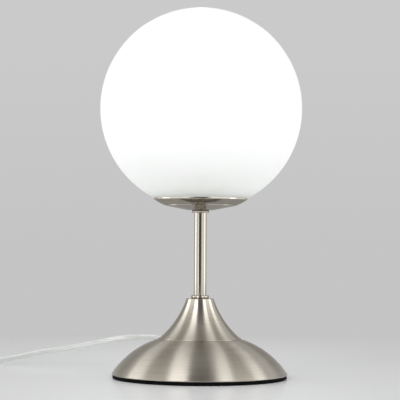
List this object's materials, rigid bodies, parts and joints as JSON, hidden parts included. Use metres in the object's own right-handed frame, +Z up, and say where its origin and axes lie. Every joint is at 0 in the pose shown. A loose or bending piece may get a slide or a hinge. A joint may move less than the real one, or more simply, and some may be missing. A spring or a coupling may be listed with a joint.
{
  "type": "table lamp",
  "caption": "Globe table lamp: opal glass ball in a shallow polished dish, on a slim polished stem and a weighted brushed trumpet-and-dome base, with a flat twin cord.",
  "frame": {"origin": "centre of the pad's underside, where the lamp stands", "axes": "+Z up along the stem, -Y to the front, the cord leaves at the back and goes to -X"},
  "size_m": [0.451, 0.2722, 0.3664],
  "materials": {
    "opal_glass": "satin opal, evenly lit from inside",
    "polished_nickel": "mirror polished nickel",
    "brushed_nickel": "brushed round the axis, satin nickel",
    "black_pad": "matte foam rubber",
    "clear_silicone": "translucent",
    "spring_steel": "rolled strip",
    "zinc_steel": "zinc plated",
    "cast_iron": "as cast, painted black",
    "white_plastic": "moulded",
    "porcelain": "glazed",
    "brass": "plain",
    "nickelled_brass": "nickel plated",
    "bulb_opal": "opal, inside coated",
    "black_glass": "glossy",
    "clear_pvc": "clear over stranded conductors",
    "wire_insulation": "white insulation",
    "black_tie": "paper-covered wire tie",
    "switch_plastic": "moulded",
    "switch_rocker_plastic": "moulded",
    "plug_plastic": "moulded over the cord's end"
  },
  "bodies": {
    "lamp": {"dish_holder": "polished_nickel", "globe_gasket": "clear_silicone", "globe_spider": "spring_steel", "dish_washer": "zinc_steel", "dish_nut": "zinc_steel", "top_collar": "polished_nickel", "stem_tube": "polished_nickel", "lower_collar": "polished_nickel", "threaded_pipe": "zinc_steel", "base_cone": "brushed_nickel", "base_dome": "brushed_nickel", "clamp_plate": "zinc_steel", "clamp_washer": "zinc_steel", "clamp_nut": "zinc_steel", "weight_posts": "zinc_steel", "ballast_weight": "cast_iron", "cover_plate": "zinc_steel", "cover_screws": "zinc_steel", "base_pad": "black_pad", "holder_cap": "white_plastic", "holder_body": "white_plastic", "holder_insert": "porcelain", "holder_screw_shell": "brass", "holder_contact": "brass", "holder_terminals": "brass", "cord_grip": "clear_pvc", "inner_wires": "wire_insulation", "power_cord": "clear_pvc", "cord_lead": "clear_pvc", "cord_coil": "clear_pvc", "cord_tail": "clear_pvc", "coil_tie": "black_tie", "switch_base": "switch_plastic", "switch_cover": "switch_plastic", "switch_pin": "zinc_steel", "switch_blades": "brass", "switch_screws": "zinc_steel", "plug_body": "plug_plastic", "plug_blades": "nickelled_brass"},
    "globe": {"glass_globe": "opal_glass"},
    "bulb": {"bulb_glass": "bulb_opal", "bulb_cap": "nickelled_brass", "bulb_insulator": "black_glass", "bulb_button": "brass"},
    "rocker": {"switch_rocker": "switch_rocker_plastic"}
  },
  "joints": [
    {"name": "globe_lift", "type": "slide", "parent": "lamp", "child": "globe", "axis": [0, 0, 1], "range_m": [0, 0.165]},
    {"name": "bulb_out", "type": "slide", "parent": "lamp", "child": "bulb", "axis": [0, 0, 1], "range_m": [0, 0.03]},
    {"name": "rocker_tilt", "type": "hinge", "parent": "lamp", "child": "rocker", "pos_m": [-0.2575, 0.083, 0.013], "axis": [1, 0, 0], "range_deg": [0, 24]}
  ]
}
